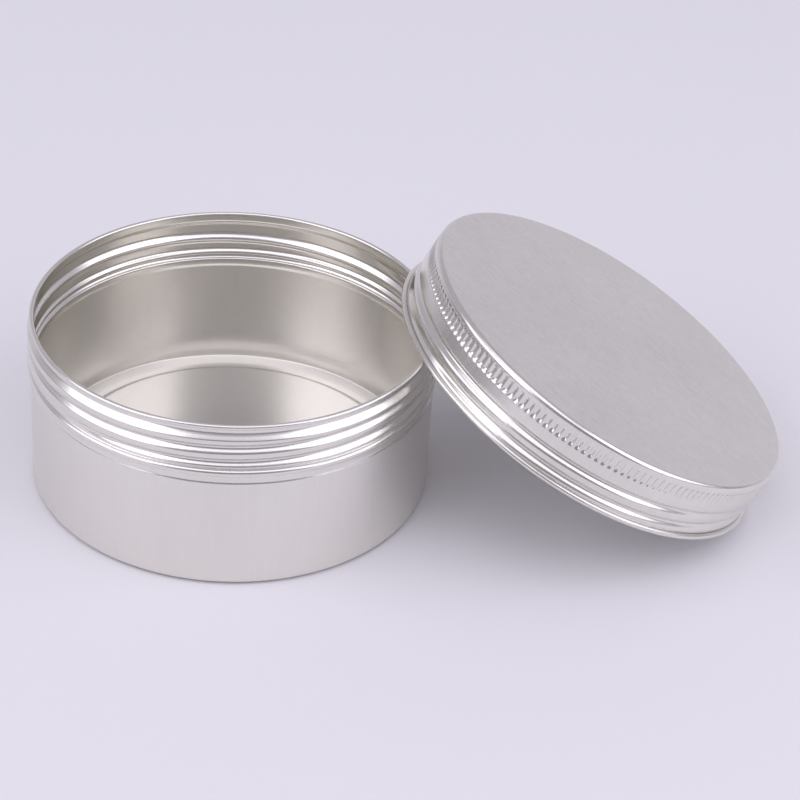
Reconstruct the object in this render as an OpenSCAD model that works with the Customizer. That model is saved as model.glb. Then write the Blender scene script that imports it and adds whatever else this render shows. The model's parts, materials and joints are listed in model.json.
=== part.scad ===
// Screw-top candle tin: a drawn aluminium tin, its threaded lid and the lid's foam liner.
// The tin stands open on its foot. The lid leans on the tin's rim with its low edge on the table.
// Frame: origin at the centre of the tin's foot, +Z up, +X from the tin towards the lid.

/* [Tin] */
// Outside diameter of the plain wall
tin_d = 80; // [66:0.5:100]
// Height from the foot to the top of the rolled rim
tin_h = 36.6; // [30:0.1:50]
// Height of the neck, from the step under the thread to the top of the rim
neck_h = 12.9; // [12:0.1:16]
// Outside radius of the bend from the wall to the base
foot_bend = 0.7; // [0.6:0.1:1.5]
// How far the base rises from the foot ring out to the bend
foot_dish = 0.4; // [0.2:0.05:0.8]
// How far the foot ring lies in from the wall
foot_in = 3; // [2.5:0.1:6]
// Width of the flat ring that the tin stands on
foot_w = 1.6; // [1:0.1:4]
// Height of the base panel above the foot
panel_rise = 0.9; // [0.6:0.1:2]
// Radius of the outward roll at the rim
rim_r = 0.5; // [0.4:0.05:0.8]

/* [Sheet] */
// Thickness of the sheet that the tin and the lid are drawn from
sheet = 0.35; // [0.25:0.01:0.45]

/* [Thread] */
// Rise of the rolled thread in one turn
pitch = 3.1; // [2.5:0.02:3.8]
// How far the thread crests stand out beyond the plain wall
crest_out = 0.4; // [0.2:0.05:0.5]
// Depth of the thread groove in the tin
tin_groove = 0.8; // [0.5:0.05:1]
// Depth of the thread groove in the lid
lid_groove = 0.65; // [0.4:0.05:0.8]
// Radial clearance between the tin's crests and the inside of the lid
thread_gap = 0.25; // [0.15:0.05:0.4]

/* [Lid] */
// Height from the rolled hem to the flat top
lid_h = 13.4; // [11:0.1:18]
// Outside radius of the bend from the skirt to the top
lid_bend = 1; // [0.6:0.1:2]
// Radius of the outward roll at the hem
hem_r = 0.55; // [0.4:0.01:0.8]
// Flutes of the grip band
flutes = 180; // [90:10:240]
// Height of the grip band
grip_h = 3.2; // [2:0.1:4]
// Depth of a flute
flute_depth = 0.2; // [0.1:0.01:0.2]

/* [Liner] */
// Thickness of the foam disc inside the lid
liner_t = 1; // [0.6:0.1:2]
// Clearance between the disc and the bend of the lid's top
liner_gap = 0.1; // [0.05:0.05:0.5]
// Clearance between the disc and the underside of the top
liner_seat = 0.05; // [0.02:0.01:0.1]

/* [Leaning lid] */
// How far the hem's high edge reaches in over the rim, along the lid
lean_lap = 3.4; // [1:0.1:8]
// Clearance between the hem and the rim where they meet
rest_gap = 0.04; // [0.02:0.01:0.1]

/* [Hidden] */
$fn = 96;
eps = 0.05;

// Base and plain wall
wall_r = tin_d / 2;
foot_r = wall_r - foot_in;
ring_in = foot_r - foot_w;
panel_r = ring_in - 1.2;
panel_shift = 1 / 3;

// Neck, from the step up: a plain band, a pressed ring, a valley and the thread's crest band
neck_z = tin_h - neck_h;
neck_step = 0.15;
ring_z = neck_z + 2.4;
ring_half = 0.8;
valley = 0.55;
crest_r = wall_r + crest_out;
crest_z = ring_z + ring_half + 0.55;
shoulder = 0.75;

// Rim
rim_c = wall_r - rim_r;
rim_z = tin_h - rim_r;
crest_top = rim_z - 1.9;
throat_r = rim_c - rim_r + sheet + 0.04;
throat_z = rim_z - 0.6;

// Helix of the tin's groove: its height over the front, and its ends in turns from there
front = -90;
groove_half = 0.95;
groove_floor = 0.3;
skin_spread = 0.3;
tin_groove_z = tin_h - 7.9;
tin_groove_from = (crest_z + 0.6 - tin_groove_z) / pitch;
tin_groove_to = (crest_top - 1.2 - tin_groove_z) / pitch;

// Lid, measured up from its own hem: the hem, a gap, the thread, a plain band, the grip band and the top
skirt_r = crest_r + thread_gap + sheet;
screw_r = skirt_r - 0.1;
hem_c = skirt_r + 0.2;
gap_z = 2 * hem_r + 0.35;
top_z = lid_h - lid_bend;
grip_z = top_z - 0.4 - grip_h;
screw_z = grip_z - 2.9;
screw_slope = 0.4;
lid_groove_z = gap_z + 1.3;
lid_groove_from = (gap_z + 0.5 - lid_groove_z) / pitch;
lid_groove_to = (screw_z + 0.5 - lid_groove_z) / pitch;
flute_r = 0.5;

// Liner
liner_r = skirt_r - lid_bend - liner_gap;
liner_z = lid_h - sheet - liner_seat - liner_t;

// Where the leaning lid lies. The hem's roll meets the rim's roll at two points on one chord.
reach = 2 * hem_c - lean_lap;
half_chord = sqrt(lean_lap * reach);
meet = rim_r + hem_r + rest_gap;
rim_turn = asin(half_chord / rim_c);
hem_turn = asin(half_chord / hem_c);
function lean_for(up) = asin((rim_z - hem_r + meet * up) / reach);
function contact_normal(lean) =
    let (along_rim = [-sin(rim_turn), cos(rim_turn), 0])
    let (along_hem = [sin(hem_turn) * cos(lean), cos(hem_turn), -sin(hem_turn) * sin(lean)])
    let (across = cross(along_hem, along_rim))
    across / norm(across);
lean = lean_for(contact_normal(lean_for(1))[2]);
normal = contact_normal(lean);
meet_y = half_chord - meet * normal[1];
meet_x = sqrt(rim_c * rim_c - meet_y * meet_y);
lid_x = meet_x + meet * normal[0] + (reach - hem_c) * cos(lean);
lid_z = hem_r + hem_c * sin(lean);

// Points of an arc about (cx, cz) from angle a0 to a1
function arc(cx, cz, r, a0, a1, steps = 6) =
    [for (i = [0 : steps]) let (a = a0 + (a1 - a0) * i / steps) [cx + r * cos(a), cz + r * sin(a)]];

// 0 at u = 0, 1 at u = 1, level at both
function ease(u) = let (v = min(1, max(0, u))) v * v * (3 - 2 * v);

// A solid wound on the thread's helix. Its section runs from the root radius, outside the base radius,
// in to the base less depth. Depth and width fade out at both ends.
module helix(base, depth, root, wide, narrow, z0, from, to, fade = 0.15, per_turn = 60) {
    rings = ceil((to - from) * per_turn);
    points = [
        for (i = [0 : rings])
            let (turn = from + (to - from) * i / rings)
            let (grow = ease((turn - from) / fade) * ease((to - turn) / fade))
            let (tip = base + eps - (depth + eps) * grow)
            let (spread = 0.3 + 0.7 * grow)
            let (a = front + 360 * turn)
            for (p = [[root, -wide], [base + eps, -wide], [tip, -narrow],
                      [tip, narrow], [base + eps, wide], [root, wide]])
                [p[0] * cos(a), p[0] * sin(a), z0 + pitch * turn + p[1] * spread]
    ];
    n = 6;
    sides = [
        for (i = [0 : rings - 1])
            for (j = [0 : n - 1])
                let (k = (j + 1) % n)
                for (tri = [[i * n + j, (i + 1) * n + k, i * n + k], [i * n + j, (i + 1) * n + j, (i + 1) * n + k]])
                    tri
    ];
    near_end = [for (j = [0 : n - 1]) j];
    far_end = [for (j = [n - 1 : -1 : 0]) rings * n + j];
    polyhedron(points, concat([near_end], sides, [far_end]));
}

// The groove outside the sheet
module groove(skin_r, depth, z0, from, to) {
    helix(skin_r, depth, skin_r + 0.4, groove_half, groove_floor, z0, from, to);
}

// The same groove as it stands out inside the sheet
module groove_back(skin_r, depth, z0, from, to) {
    helix(skin_r - sheet, depth, skin_r - sheet * 0.4, groove_half + skin_spread, groove_floor + skin_spread,
        z0, from, to);
}

// Outline of the tin's sheet up to the throat, s = 0 outside and s = sheet inside
function tin_skin(s) = concat(
    [[0, panel_rise + s], [panel_r + s * panel_shift, panel_rise + s], [ring_in + s * panel_shift, s], [foot_r, s]],
    arc(wall_r - foot_bend, foot_dish + foot_bend, foot_bend - s, -78, 0),
    [[wall_r - s, neck_z], [wall_r - neck_step - s, neck_z + neck_step]],
    [[wall_r - neck_step - s, ring_z - ring_half - 0.3]],
    arc(wall_r - neck_step - 0.1 - s, ring_z, ring_half, -70, 70),
    [[crest_r - valley - s, ring_z + ring_half + 0.2], [crest_r - s, crest_z]],
    arc(crest_r - shoulder - s, crest_top - shoulder, shoulder, 0, 60),
    [[throat_r - s, throat_z]]
);

module tin_body() {
    color([0.75, 0.74, 0.73])
    difference() {
        union() {
            difference() {
                rotate_extrude() polygon(concat(tin_skin(0), [[throat_r, rim_z], [0, rim_z]]));
                rotate_extrude() polygon(concat(tin_skin(sheet), [[throat_r - sheet, tin_h + 1], [0, tin_h + 1]]));
            }
            rotate_extrude() translate([rim_c, rim_z]) circle(rim_r);
            groove_back(crest_r, tin_groove, tin_groove_z, tin_groove_from, tin_groove_to);
        }
        groove(crest_r, tin_groove, tin_groove_z, tin_groove_from, tin_groove_to);
    }
}

// Outline of the lid's sheet from the hem to the top, s = 0 outside and s = sheet inside
function lid_skin(s) = concat(
    [[screw_r - s, hem_r], [screw_r - s, screw_z], [skirt_r - s, screw_z + screw_slope]],
    arc(skirt_r - lid_bend, top_z, lid_bend - s, 0, 90),
    [[0, lid_h - s]]
);

module lid_upright() {
    difference() {
        union() {
            difference() {
                rotate_extrude() polygon(concat(lid_skin(0), [[0, hem_r]]));
                rotate_extrude() polygon(concat([[screw_r - sheet, hem_r - 1]], lid_skin(sheet), [[0, hem_r - 1]]));
            }
            rotate_extrude() translate([hem_c, hem_r]) circle(hem_r);
            groove_back(screw_r, lid_groove, lid_groove_z, lid_groove_from, lid_groove_to);
        }
        groove(screw_r, lid_groove, lid_groove_z, lid_groove_from, lid_groove_to);
        for (i = [0 : flutes - 1])
            rotate(360 * i / flutes)
                translate([skirt_r + flute_r - flute_depth, 0, grip_z])
                    cylinder(h = grip_h, r = flute_r, $fn = 24);
    }
}

module on_lean() {
    translate([lid_x, 0, lid_z]) rotate([0, lean, 0]) translate([0, 0, -hem_r]) children();
}

module lid_shell() {
    color([0.77, 0.76, 0.76]) on_lean() lid_upright();
}

module lid_liner() {
    color([0.95, 0.95, 0.93]) on_lean() translate([0, 0, liner_z]) cylinder(h = liner_t, r = liner_r);
}

tin_body();
lid_shell();
lid_liner();
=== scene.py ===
# %% [markdown]
# # A screw-top candle tin
# The object is a shallow round tin, drawn and pressed from one thin aluminium sheet, with its lid leaning on it.
# Everything here is the same few ideas: a section turned about an axis, a thread and flutes pressed into the
# turned sheet, and satin metal that shows what is around it.
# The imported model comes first. It is the frame that every piece has to fit.

# %% Load the frame
import json
import math
import bpy
import bmesh
from mathutils import Matrix, Quaternion, Vector


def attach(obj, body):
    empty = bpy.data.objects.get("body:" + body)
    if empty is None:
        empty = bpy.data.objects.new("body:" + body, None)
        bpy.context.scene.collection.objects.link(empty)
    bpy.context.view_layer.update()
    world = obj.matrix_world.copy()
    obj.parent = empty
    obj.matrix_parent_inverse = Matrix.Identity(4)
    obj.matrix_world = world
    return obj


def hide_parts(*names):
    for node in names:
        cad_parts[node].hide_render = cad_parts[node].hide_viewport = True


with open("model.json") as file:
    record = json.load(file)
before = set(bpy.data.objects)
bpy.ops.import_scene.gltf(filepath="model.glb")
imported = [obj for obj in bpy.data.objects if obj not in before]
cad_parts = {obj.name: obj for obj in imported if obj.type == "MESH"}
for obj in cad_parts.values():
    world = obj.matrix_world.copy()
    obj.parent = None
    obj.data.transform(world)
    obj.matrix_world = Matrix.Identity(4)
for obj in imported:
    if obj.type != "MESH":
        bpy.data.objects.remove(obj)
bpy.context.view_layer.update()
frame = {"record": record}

MM = 0.001

# %% [markdown]
# ## Camera
# The view looks down on the open tin from a little left of its front, from half a metre away, with a long lens.
# A camera could be placed by its coordinates. Giving it a point to look at, a distance and three angles says more
# plainly what the view is, and each can be changed without losing the object.

# %% Camera
aim = Vector((33.5, -2.3, 18.0)) * MM
distance = 461.1 * MM
azimuth, elevation, roll = math.radians(-5.73), math.radians(33.72), math.radians(4.41)

back = Vector((math.sin(azimuth) * math.cos(elevation), -math.cos(azimuth) * math.cos(elevation), math.sin(elevation)))
camera = bpy.data.objects.new("camera", bpy.data.cameras.new("camera"))
camera.data.lens = 103.25
camera.data.sensor_width = 36
camera.data.clip_start = 0.01
camera.location = aim + back * distance
camera.rotation_mode = "QUATERNION"
camera.rotation_quaternion = back.to_track_quat("Z", "Y") @ Quaternion((0, 0, 1), roll)
bpy.context.collection.objects.link(camera)
bpy.context.scene.camera = camera
print("camera at", [round(v / MM) for v in camera.location], "mm")

# %% [markdown]
# ## Sums inside a node tree
# The thread, the flutes and the grain are all written as sums of a point's place. A node tree needs one Math node
# for each step of such a sum. A small class that turns +, -, * and / into Math nodes keeps the sums readable, and
# it serves geometry trees and shader trees alike.

# %% A field that can be added and multiplied
class Field:
    """A number that a node tree works out at each point."""

    def __init__(self, tree, socket):
        self.tree, self.socket = tree, socket

    def do(self, operation, *others):
        node = self.tree.nodes.new("ShaderNodeMath")
        node.operation = operation
        for place, value in zip(node.inputs, (self, *others)):
            feed(self.tree, value, place)
        return Field(self.tree, node.outputs[0])

    def __add__(self, other):
        return self.do("ADD", other)

    def __sub__(self, other):
        return self.do("SUBTRACT", other)

    def __mul__(self, other):
        return self.do("MULTIPLY", other)

    def __truediv__(self, other):
        return self.do("DIVIDE", other)

    def ease(self):
        """0 up to 0, 1 from 1, and level at both."""
        v = self.do("MAXIMUM", 0).do("MINIMUM", 1)
        return v * v * (v * -2 + 3)


def feed(tree, value, place):
    """Links a field or a socket to an input, or sets the input to a plain value."""
    if isinstance(value, Field):
        tree.links.new(value.socket, place)
    elif isinstance(value, bpy.types.NodeSocket):
        tree.links.new(value, place)
    else:
        place.default_value = value


def add_socket(tree, name, way, kind, value=None):
    """Names one input or output of a tree."""
    socket = tree.interface.new_socket(name, in_out=way, socket_type="NodeSocket" + kind)
    if value is not None:
        socket.default_value = value

# %% [markdown]
# ## Sections
# The tin and the lid are turned shapes: each follows one outline, which is the thin sheet seen from the side.
# The outline could be drawn as a curve and given to a Screw modifier. Here it is a list of stations that are spun
# in code, because each station then says how many columns it needs. The plain wall needs few and the fluted band
# needs many.

# %% Outline helpers
def arc(centre, height, radius, start, end, steps=8):
    """Points of an arc in the section, by angle in degrees."""
    angles = [math.radians(start + (end - start) * i / steps) for i in range(steps + 1)]
    return [(centre + radius * math.cos(a), height + radius * math.sin(a)) for a in angles]


def soften(points, rounds=2):
    """Cuts the corners of an outline, so that pressed steps come out rounded. The ends stay."""
    for _ in range(rounds):
        cut = [points[0]]
        for (r0, z0), (r1, z1) in zip(points, points[1:]):
            cut += [(r0 * 0.75 + r1 * 0.25, z0 * 0.75 + z1 * 0.25), (r0 * 0.25 + r1 * 0.75, z0 * 0.25 + z1 * 0.75)]
        points = cut + [points[-1]]
    return points


def divide(points, longest):
    """Adds points until no step of the outline is longer than this."""
    out = [points[0]]
    for (r0, z0), (r1, z1) in zip(points, points[1:]):
        n = max(1, math.ceil(math.hypot(r1 - r0, z1 - z0) / longest))
        out += [(r0 + (r1 - r0) * i / n, z0 + (z1 - z0) * i / n) for i in range(1, n + 1)]
    return out

# %% Spin an outline into a closed shell
COLUMNS = 360
front = -math.pi / 2


def spin(name, stations):
    """Turns stations (radius, height, columns) in mm about Z. The outline starts and ends on the axis."""
    verts, rings = [], []
    for r, z, n in stations:
        if r < 1e-6:
            n = 1
        rings.append((len(verts), n))
        turns = [front + 2 * math.pi * i / n for i in range(n)]
        verts += [(r * math.cos(a) * MM, r * math.sin(a) * MM, z * MM) for a in turns]
    faces = []
    for (low, n), (high, m) in zip(rings, rings[1:]):
        for i in range(min(n, m) if min(n, m) > 1 else max(n, m)):
            j, k = max(1, n // m) if m > 1 else 1, max(1, m // n) if n > 1 else 1
            near = [low + (i * j + s) % n for s in range(j + 1)] if n > 1 else [low]
            far = [high + (i * k + s) % m for s in range(k + 1)] if m > 1 else [high]
            faces.append(near + far[::-1])
    mesh = bpy.data.meshes.new(name)
    mesh.from_pydata(verts, [], faces)
    tidy = bmesh.new()
    tidy.from_mesh(mesh)
    bmesh.ops.recalc_face_normals(tidy, faces=tidy.faces)
    tidy.to_mesh(mesh)
    tidy.free()
    mesh.shade_smooth()
    piece = bpy.data.objects.new(name, mesh)
    bpy.context.collection.objects.link(piece)
    print(name, "has", len(stations), "stations and", len(faces), "faces")
    return piece

# %% [markdown]
# ## Tin
# The tin stands on a narrow flat ring round a raised base panel, and a shallow cone joins the ring to the wall.
# Above the plain wall come a small step, a pressed ring, a valley and the thread's crest band, and at the top the
# sheet tucks in and rolls outwards into the rim.
# Both faces of the sheet follow this outline, one sheet's thickness apart, so the inside shows every bead in
# reverse, as a real pressed tin does.

# %% Tin sizes in mm
sheet = 0.35
wall_r, tin_h, neck_z = 40.0, 36.6, 23.7
panel_r, panel_rise, ring_in, foot_r, foot_dish, foot_bend = 34.2, 0.9, 35.4, 37.0, 0.4, 0.7
ring_r, ring_z, ring_half = 39.75, 26.1, 0.8
crest_r, crest_z, crest_top = 40.4, 27.45, 34.2
throat_r, rim_c, rim_z, rim_roll = 39.39, 39.5, 36.1, 0.5

# %% Tin outline
def tin_base(s):
    """Underside of the sheet for s = 0, top side for s = sheet."""
    aside = s / 3
    level = panel_rise + s
    panel = [(0, level), (30, level), (33.2, level)]
    rise = soften([(33.4, level), (panel_r + aside, level), (ring_in + aside, s), (ring_in + 0.6, s)], 3)
    cone = [(foot_r, s), (foot_r + 0.3, s + 0.05)]
    return panel + rise + cone + arc(wall_r - foot_bend, foot_dish + foot_bend, foot_bend - s, -78, 0)


def tin_neck(s):
    """Neck of the sheet from the step up to the throat, rounded as pressed sheet is."""
    step = [(wall_r - s, neck_z - 0.4), (wall_r - s, neck_z), (wall_r - 0.2 - s, neck_z + 0.2), (wall_r - 0.2 - s, 25)]
    ring = [(r - s, z) for r, z in arc(ring_r, ring_z, ring_half, -80, 80)]
    band = [(wall_r - 0.25 - s, 27.1), (crest_r - 0.1 - s, crest_z), (crest_r - s, crest_z + 0.4)]
    shoulder = [(r - s, z) for r, z in arc(crest_r - 0.5, crest_top - 0.8, 0.5, 0, 44, 4)]
    tuck = [(throat_r + 0.04 - s, 34.7), (throat_r - s, 34.95), (throat_r - s, 35.5)]
    return soften(step + ring + band + shoulder + tuck)


roll = arc(rim_c, rim_z, rim_roll, -100, 180, 22)
outside = tin_base(0) + divide(tin_neck(0)[::2], 0.26) + roll
inside = tin_base(sheet) + divide(tin_neck(sheet)[::2], 0.32)
tin_stations = [(r, z, COLUMNS) for r, z in outside + inside[::-1]]
tin = spin("tin", tin_stations)

# %% [markdown]
# ## Thread and flutes
# A roller presses the thread into the turned sheet, so it is a groove outside and a ridge inside, and it fades in
# and out at its ends. It could be cut with a Boolean from a swept coil. Moving the sheet's own points keeps the
# sheet whole and its thickness even. For each point a Geometry Nodes tree finds the nearest turn of the helix,
# measures the distance to it and pushes the point in. The flutes of the lid's grip band repeat by angle in the
# same tree. Each is a short upright slot that runs out softly at both ends.

# %% Tree that presses a thread and flutes
def press_tree():
    tree = bpy.data.node_groups.new("press the sheet", "GeometryNodeTree")
    add_socket(tree, "Geometry", "OUTPUT", "Geometry")
    add_socket(tree, "Geometry", "INPUT", "Geometry")
    for name in ("Pitch", "Height", "First Turn", "Last Turn", "Depth", "Half Width", "Fade",
                 "Flutes", "Flute Low", "Flute High", "Flute Half", "Flute Depth"):
        add_socket(tree, name, "INPUT", "Float", 1.0)
    add_socket(tree, "Finish", "INPUT", "Material")
    given, result = tree.nodes.new("NodeGroupInput"), tree.nodes.new("NodeGroupOutput")
    size = {out.name: Field(tree, out) for out in given.outputs if out.type == "VALUE"}

    split = tree.nodes.new("ShaderNodeSeparateXYZ")
    tree.links.new(tree.nodes.new("GeometryNodeInputPosition").outputs[0], split.inputs[0])
    x, y, z = (Field(tree, out) * (1 / MM) for out in split.outputs)
    round_by = y.do("ARCTAN2", x) * (0.5 / math.pi)
    radius = (x * x + y * y).do("SQRT")

    turn = (round_by + 0.25).do("FLOORED_MODULO", 1)
    lap = ((z - size["Height"]) / size["Pitch"] - turn).do("ROUND", 0)
    along = lap + turn
    off = (z - size["Height"] - along * size["Pitch"]) / size["Half Width"]
    off = off.do("MAXIMUM", -1).do("MINIMUM", 1)
    dip = ((off * math.pi).do("COSINE") * 0.5 + 0.5).do("POWER", 1.5)
    grow = ((along - size["First Turn"]) / size["Fade"]).ease() * ((size["Last Turn"] - along) / size["Fade"]).ease()
    thread = dip * grow * size["Depth"]

    in_flute = (round_by * size["Flutes"]).do("FLOORED_MODULO", 1) - 0.5
    across = in_flute * radius * 2 * math.pi / size["Flutes"]
    middle = (size["Flute High"] + size["Flute Low"]) * 0.5
    from_end = (size["Flute High"] - size["Flute Low"]) * 0.5 - (z - middle).do("ABSOLUTE")
    ends = (from_end / size["Flute Half"] * 0.6).ease()
    side = across / size["Flute Half"]
    flute = (side * side * -1 + 1).do("MAXIMUM", 0).do("SQRT") * ends * size["Flute Depth"]

    pushed = (thread + flute) / radius.do("MAXIMUM", 1) * -MM
    shift = tree.nodes.new("ShaderNodeCombineXYZ")
    for axis, value in enumerate((x, y)):
        tree.links.new((value * pushed).socket, shift.inputs[axis])
    move = tree.nodes.new("GeometryNodeSetPosition")
    whole = tree.nodes.new("GeometryNodeRealizeInstances")
    finish = tree.nodes.new("GeometryNodeSetMaterial")
    for a, b in ((given.outputs["Geometry"], move.inputs["Geometry"]), (shift.outputs[0], move.inputs["Offset"]),
                 (move.outputs[0], whole.inputs[0]), (whole.outputs[0], finish.inputs["Geometry"]),
                 (given.outputs["Finish"], finish.inputs["Material"]), (finish.outputs[0], result.inputs[0])):
        tree.links.new(a, b)
    return tree


press = press_tree()
print("the press tree has", len(press.nodes), "nodes")

# %% Run a tree on a piece and keep the plain mesh
def run_tree(piece, tree, **values):
    """Sets a tree's inputs by identifier, evaluates it, and leaves a plain mesh with no modifier."""
    modifier = piece.modifiers.new("press", "NODES")
    modifier.node_group = tree
    wanted = {name.replace("_", " ").title(): value for name, value in values.items()}
    for socket in tree.interface.items_tree:
        if socket.in_out == "INPUT" and socket.name in wanted:
            modifier[socket.identifier] = wanted.pop(socket.name)
    assert not wanted, f"no such input: {list(wanted)}"
    shaped = piece.evaluated_get(bpy.context.evaluated_depsgraph_get())
    mesh = bpy.data.meshes.new_from_object(shaped)
    piece.modifiers.clear()
    piece.data = mesh
    corners = [Vector(c) for c in piece.bound_box]
    print(piece.name, "now reaches", round(max(c.length for c in corners) / MM, 1), "mm from the origin")

# %% Press the tin's thread
tin_metal = bpy.data.materials.new("satin_tin")
lid_metal = bpy.data.materials.new("satin_lid")
foam = bpy.data.materials.new("white_foam")

pitch, fade = 3.1, 0.15
tin_thread_z = tin_h - 7.95
no_flutes = dict(flutes=1.0, flute_low=-9.0, flute_high=-8.0, flute_half=0.1, flute_depth=0.0)
run_tree(tin, press, pitch=pitch, height=tin_thread_z, first_turn=(crest_z + 0.6 - tin_thread_z) / pitch,
         last_turn=(crest_top - 1.2 - tin_thread_z) / pitch, depth=0.85, half_width=1.4, fade=fade,
         finish=tin_metal, **no_flutes)

# %% [markdown]
# ## Lid
# The lid is a shallow cap of the same sheet: a flat top, a tight polished bend, the fluted grip band, a plain
# band, a slightly narrower threaded skirt and a hem rolled outwards. It is modelled upright and then laid on its
# lean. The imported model's lid_turn joint holds that place: its position is the centre of the hem's foot, and its
# axis is the lid's own.

# %% Lid sizes in mm
lid_h, lid_bend, skirt_r, screw_r = 13.4, 1.0, 41.0, 40.9
hem_c, hem_r, gap_z, screw_z, top_z = 41.2, 0.55, 1.45, 5.9, 12.4
grip_low, grip_high, flutes, flute_depth = 8.8, 12.0, 180, 0.3
FLUTE_COLUMNS = COLUMNS * 4

# %% Lid outline
def lid_skirt(s):
    """Skirt of the sheet from the hem up to the foot of the grip band."""
    low = [(screw_r - s, 1.0), (screw_r - s, screw_z - 0.3), (screw_r - s, screw_z), (skirt_r - s, screw_z + 0.4)]
    return divide(soften(low + [(skirt_r - s, screw_z + 0.8), (skirt_r - s, grip_low - 0.25)]), 0.2)


def lid_stations(s, grip_steps):
    """Stations of one face of the sheet, from the hem to the centre of the top."""
    step = (grip_high - grip_low + 0.1) / grip_steps
    band = [(skirt_r - s, grip_low - 0.05 + step * i) for i in range(grip_steps + 1)]
    top = [(skirt_r - s, 12.2)] + arc(skirt_r - lid_bend, top_z, lid_bend - s, 0, 90, 10)
    top += [(39.6, lid_h - s), (36, lid_h - s), (0, lid_h - s)]
    return ([(r, z, COLUMNS) for r, z in lid_skirt(s)] + [(r, z, FLUTE_COLUMNS) for r, z in band]
            + [(r, z, COLUMNS) for r, z in top])


hem = [(r, z, COLUMNS) for r, z in arc(hem_c, hem_r, hem_r, 130, -180, 24)]
lid = spin("lid", lid_stations(0, 15)[::-1] + hem + lid_stations(sheet, 9))

# %% Press the lid's thread and flutes, and lay it on its lean
lid_thread_z = gap_z + 1.3
run_tree(lid, press, pitch=pitch, height=lid_thread_z, first_turn=(gap_z + 0.5 - lid_thread_z) / pitch,
         last_turn=(screw_z + 0.5 - lid_thread_z) / pitch, depth=0.7, half_width=1.35, fade=fade,
         flutes=float(flutes), flute_low=grip_low, flute_high=grip_high, flute_half=0.52, flute_depth=flute_depth,
         finish=lid_metal)

joint = next(j for j in frame["record"]["behaviour"]["joints"] if j["name"] == "lid_turn")
lid_axis, lid_foot = Vector(joint["axis"]), Vector(joint["pos_m"])
sideways = Vector((0, 1, 0))
lean = Matrix((sideways.cross(lid_axis), sideways, lid_axis)).transposed().to_4x4()
lean.translation = lid_foot
lid.data.transform(lean)
print("the lid leans by", round(math.degrees(lean.to_euler().y), 2), "degrees")

# %% [markdown]
# ## Foam liner
# A thin disc of white closed-cell foam is pushed up inside the lid, where it seals on the rim. Its edge is die-cut
# and slightly rounded, and the rim has left a shallow ring in its face. The same spin makes it, with the ring
# drawn into its outline.

# %% Foam liner
liner_r, liner_low, liner_high, cut = 39.9, 12.0, 13.0, 0.18
mark = [(37.6, 0), (38.6, 0), (39.0, 0.1), (39.4, 0.1)]
under = [(0, liner_low)] + soften([(r, liner_low + up) for r, up in mark] + [(39.72, liner_low)], 2)
edge = arc(liner_r - cut, liner_low + cut, cut, -90, 0, 4) + arc(liner_r - cut, liner_high - cut, cut, 0, 90, 4)
liner = spin("liner", [(r, z, COLUMNS // 2) for r, z in under + edge + [(36, liner_high), (0, liner_high)]])
liner.data.transform(lean)
liner.data.materials.append(foam)

# %% [markdown]
# ## Finishes
# The sheet is satin aluminium. Rolling leaves fine short streaks on the flat top and base. Drawing turns
# the streaks upright on the walls, and polishes the metal where a tool bends it: the rolls, beads and corners.
# Handling adds faint cloudy patches. The grain and the clouds are one shared group, which both metals use with
# their own values. Each metal sets where its axis is with a Mapping node, so the grain lies along the piece.

# %% Shared group for worked sheet
def sheet_group():
    tree = bpy.data.node_groups.new("worked sheet", "ShaderNodeTree")
    add_socket(tree, "Place", "INPUT", "Vector")
    for name, value in (("Grain Turn", 0.6), ("Wall Streaks", 0.5), ("Flat Streaks", 1.0), ("Cloud", 1.0),
                        ("Worked Above", 0.0), ("Worked Beyond", 0.0)):
        add_socket(tree, name, "INPUT", "Float", value)
    for name in ("Streaks", "Clouds", "Height", "Worked"):
        add_socket(tree, name, "OUTPUT", "Float")
    given, result = tree.nodes.new("NodeGroupInput"), tree.nodes.new("NodeGroupOutput")
    place = given.outputs["Place"]

    def noise(stretch, scale, detail, turn=0.0, rough=0.6):
        mapping, texture = tree.nodes.new("ShaderNodeMapping"), tree.nodes.new("ShaderNodeTexNoise")
        turned = tree.nodes.new("ShaderNodeVectorRotate")
        turned.rotation_type = "Z_AXIS"
        feed(tree, place, turned.inputs["Vector"])
        feed(tree, turn, turned.inputs["Angle"])
        feed(tree, turned.outputs[0], mapping.inputs["Vector"])
        mapping.inputs["Scale"].default_value = stretch
        feed(tree, mapping.outputs[0], texture.inputs["Vector"])
        for name, value in (("Scale", scale), ("Detail", detail), ("Roughness", rough)):
            texture.inputs[name].default_value = value
        return Field(tree, texture.outputs["Fac"])

    normal = tree.nodes.new("ShaderNodeSeparateXYZ")
    feed(tree, place, normal.inputs[0])
    x, y, z = (Field(tree, out) for out in normal.outputs)
    radius = (x * x + y * y).do("SQRT")
    on_wall = ((radius - 39.4 * MM) / (0.5 * MM)).ease()
    on_flat = on_wall * -1 + 1
    flat = noise((1, 9, 1), 420, 4, given.outputs["Grain Turn"], 0.7)
    fine = noise((1, 6, 1), 1300, 3, given.outputs["Grain Turn"], 0.7)
    wall = noise((1, 1, 0.04), 1500, 3)
    cloud = noise((1, 1, 0.7), 34, 4, rough=0.65)
    flat_part = (flat * 0.5 + fine * 0.5 - 0.5) * Field(tree, given.outputs["Flat Streaks"]) * on_flat
    wall_part = (wall - 0.5) * Field(tree, given.outputs["Wall Streaks"]) * on_wall
    streaks = flat_part + wall_part + 0.5
    clouds = (cloud - 0.5) * Field(tree, given.outputs["Cloud"]) + 0.5
    above = ((z - Field(tree, given.outputs["Worked Above"])) / (0.4 * MM)).ease()
    beyond = ((radius - Field(tree, given.outputs["Worked Beyond"])) / (0.4 * MM)).ease()
    for name, value in (("Streaks", streaks), ("Clouds", clouds), ("Height", streaks * 0.7 + clouds * 0.3),
                        ("Worked", above * beyond)):
        tree.links.new(value.socket, result.inputs[name])
    return tree


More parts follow.
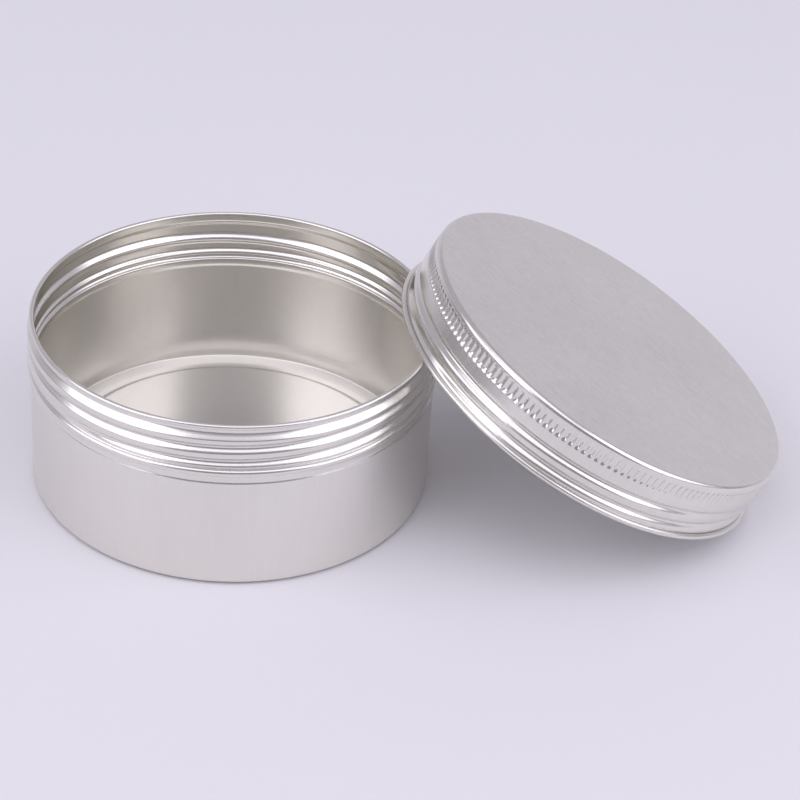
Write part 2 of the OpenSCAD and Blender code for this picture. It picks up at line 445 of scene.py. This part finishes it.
worked_sheet = sheet_group()

# %% Build a metal
def shade(material):
    """Empties a material's tree and gives back its tree and its Principled shader."""
    material.use_nodes = True
    tree = material.node_tree
    tree.nodes.clear()
    shader, out = tree.nodes.new("ShaderNodeBsdfPrincipled"), tree.nodes.new("ShaderNodeOutputMaterial")
    tree.links.new(shader.outputs[0], out.inputs["Surface"])
    return tree, shader


def mix_colour(tree, factor, first, second):
    node = tree.nodes.new("ShaderNodeMix")
    node.data_type = "RGBA"
    feed(tree, factor, node.inputs[0])
    node.inputs[6].default_value, node.inputs[7].default_value = (*first, 1), (*second, 1)
    return node.outputs[2]


def between(tree, factor, low, high):
    """A value that runs from low to high as a mask goes from 0 to 1."""
    node = tree.nodes.new("ShaderNodeMapRange")
    feed(tree, factor, node.inputs["Value"])
    node.inputs["To Min"].default_value, node.inputs["To Max"].default_value = low, high
    return Field(tree, node.outputs[0])


def metal(material, upright, dull, bright, rough_low, rough_high, bump, polish, **amounts):
    """Satin metal. upright turns the object's place to the piece's own axis; bump is in mm."""
    tree, shader = shade(material)
    coords, mapping = tree.nodes.new("ShaderNodeTexCoord"), tree.nodes.new("ShaderNodeMapping")
    mapping.inputs["Location"].default_value = upright.to_translation()
    mapping.inputs["Rotation"].default_value = upright.to_euler()
    tree.links.new(coords.outputs["Object"], mapping.inputs["Vector"])
    group = tree.nodes.new("ShaderNodeGroup")
    group.node_tree = worked_sheet
    tree.links.new(mapping.outputs[0], group.inputs["Place"])
    for name, value in amounts.items():
        group.inputs[name.replace("_", " ").title()].default_value = value
    streaks, clouds = (Field(tree, group.outputs[n]) for n in ("Streaks", "Clouds"))
    tone = (streaks * 0.6 + clouds * 0.4 - 0.3) * 2.5
    tree.links.new(mix_colour(tree, tone, dull, bright), shader.inputs["Base Color"])
    rough = between(tree, streaks * 0.5 + clouds * 0.5, rough_low, rough_high)
    rough = rough * (Field(tree, group.outputs["Worked"]) * -polish + 1)
    tree.links.new(rough.socket, shader.inputs["Roughness"])
    bumps = tree.nodes.new("ShaderNodeBump")
    bumps.inputs["Distance"].default_value = bump * MM
    bumps.inputs["Strength"].default_value = 1.0
    tree.links.new(group.outputs["Height"], bumps.inputs["Height"])
    tree.links.new(bumps.outputs[0], shader.inputs["Normal"])
    shader.inputs["Metallic"].default_value = 1.0
    return tree, shader

# %% The tin's and the lid's metal
stand = Matrix.Identity(4)
metal(tin_metal, stand, dull=(0.77, 0.75, 0.70), bright=(0.88, 0.86, 0.81), rough_low=0.22, rough_high=0.36,
      bump=0.005, polish=0.25, wall_streaks=0.3, grain_turn=0.3, worked_above=(neck_z - 0.3) * MM, worked_beyond=0.0)
metal(lid_metal, lean.inverted(), dull=(0.72, 0.70, 0.655), bright=(0.90, 0.88, 0.83), rough_low=0.22, rough_high=0.42,
      bump=0.012, polish=0.35, grain_turn=0.7, flat_streaks=2.6, worked_above=-MM, worked_beyond=39.9 * MM)

# %% [markdown]
# ## Foam
# The foam is matt and white, with fine closed cells that show as a soft pebble when the light grazes it. A Voronoi
# pattern gives the cells and their slightly raised middles. Its colour is also made darker towards each cell's edge,
# which is painted shade in the hollows between the cells.

# %% The liner's foam
tree, shader = shade(foam)
coords, cells = tree.nodes.new("ShaderNodeTexCoord"), tree.nodes.new("ShaderNodeTexVoronoi")
cells.feature = "SMOOTH_F1"
cells.inputs["Scale"].default_value = 1600
tree.links.new(coords.outputs["Object"], cells.inputs["Vector"])
cell = Field(tree, cells.outputs["Distance"])
# The colour darkens towards each cell's edge: painted shade in the hollows between the raised cell middles.
tree.links.new(mix_colour(tree, cell, (0.90, 0.90, 0.88), (0.78, 0.78, 0.76)), shader.inputs["Base Color"])
tree.links.new(between(tree, cell, 0.55, 0.8).socket, shader.inputs["Roughness"])
bumps = tree.nodes.new("ShaderNodeBump")
bumps.inputs["Distance"].default_value = 0.08 * MM
bumps.invert = True
tree.links.new(cell.socket, bumps.inputs["Height"])
tree.links.new(bumps.outputs[0], shader.inputs["Normal"])

# %% [markdown]
# ## Join the pieces to the frame
# Each piece rides on the imported body that it belongs to and hides the CAD node it stands for.

# %% Bodies, nodes and slots
for piece, body, node, slot in ((tin, "tin", "tin_body", "tin_aluminium"), (lid, "lid", "lid_shell", "lid_aluminium"),
                                (liner, "liner", "lid_liner", "liner_foam")):
    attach(piece, body)
    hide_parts(node)
    print(piece.name, "has", sum(len(p.vertices) - 2 for p in piece.data.polygons), "triangles")

# %% [markdown]
# ## Table and light
# Satin metal is only as good as what it reflects. The table is pale and wide. Soft boxes stand to the left and the
# right and a third hangs in front overhead, with a gap between them that leaves a darker middle inside the tin.
# The room is a quiet grey. It grows paler behind, which gives the lid's flat top its even tone, and darker low at
# the sides and in the gap in front.

# %% Table
table = bpy.data.meshes.new("table")
side = 3.0
table.from_pydata([(-side, -side, 0), (side, -side, 0), (side, side, 0), (-side, side, 0)], [], [(0, 1, 2, 3)])
table = bpy.data.objects.new("table", table)
bpy.context.collection.objects.link(table)
table_top = bpy.data.materials.new("table_top")
tree, shader = shade(table_top)
texture, coords = tree.nodes.new("ShaderNodeTexNoise"), tree.nodes.new("ShaderNodeTexCoord")
texture.inputs["Scale"].default_value = 3
tree.links.new(coords.outputs["Object"], texture.inputs["Vector"])
table_pale, table_paler = (0.845, 0.835, 0.85), (0.875, 0.865, 0.88)
tree.links.new(mix_colour(tree, texture.outputs["Fac"], table_pale, table_paler), shader.inputs["Base Color"])
shader.inputs["Roughness"].default_value = 0.6
shader.inputs["Specular IOR Level"].default_value = 0.2
table.data.materials.append(table_top)

# %% Lights
room_tint = (0.91, 0.885, 1.0)


def soft_box(name, place, towards, wide, deep, glow):
    """A rectangular light whose face has the given brightness."""
    light = bpy.data.lights.new(name, "AREA")
    light.shape = "RECTANGLE"
    light.size, light.size_y = wide, deep
    light.energy = glow * math.pi * wide * deep
    light.color = room_tint
    box = bpy.data.objects.new(name, light)
    box.location = place
    box.rotation_mode = "QUATERNION"
    box.rotation_quaternion = (Vector(place) - Vector(towards)).to_track_quat("Z", "Y")
    bpy.context.collection.objects.link(box)
    return box


def around(turn, rise, far):
    """A place round the object, by degrees from the front towards the right, degrees up, and metres away."""
    t, e = math.radians(turn), math.radians(rise)
    return far * math.sin(t) * math.cos(e) + 0.03, -far * math.cos(t) * math.cos(e), far * math.sin(e)


middle_of_object = (0.03, 0, 0.02)
soft_box("left_box", around(-68, 32, 1.5), middle_of_object, 1.5, 1.2, 1.36)
soft_box("right_box", around(68, 32, 1.5), middle_of_object, 1.5, 1.2, 1.32)
soft_box("top_box", around(0, 71, 1.5), middle_of_object, 1.4, 1.3, 0.92)

# %% Room
world = bpy.data.worlds.new("room")
bpy.context.scene.world = world
world.use_nodes = True
tree = world.node_tree
split = tree.nodes.new("ShaderNodeSeparateXYZ")
tree.links.new(tree.nodes.new("ShaderNodeTexCoord").outputs["Generated"], split.inputs[0])
behind, up = Field(tree, split.outputs[1]), Field(tree, split.outputs[2])
backdrop = ((behind - 0.15) / 0.5).ease() * ((up * -1 + 0.55) / 0.35).ease()
gap = ((behind * -1 - 0.6) / 0.25).ease()
beside = ((Field(tree, split.outputs[0]).do("ABSOLUTE") - 0.7) / 0.2).ease() * ((up * -1 + 0.32) / 0.15).ease()
room = tree.nodes["Background"]
room.inputs["Color"].default_value = (*room_tint, 1)
quiet, backdrop_more, beside_less, gap_less = 0.52, 0.19, 0.2, 0.2
strength = backdrop * backdrop_more + quiet - beside * beside_less - gap * gap_less
tree.links.new(strength.socket, room.inputs["Strength"])
bpy.context.scene.view_settings.view_transform = "Standard"
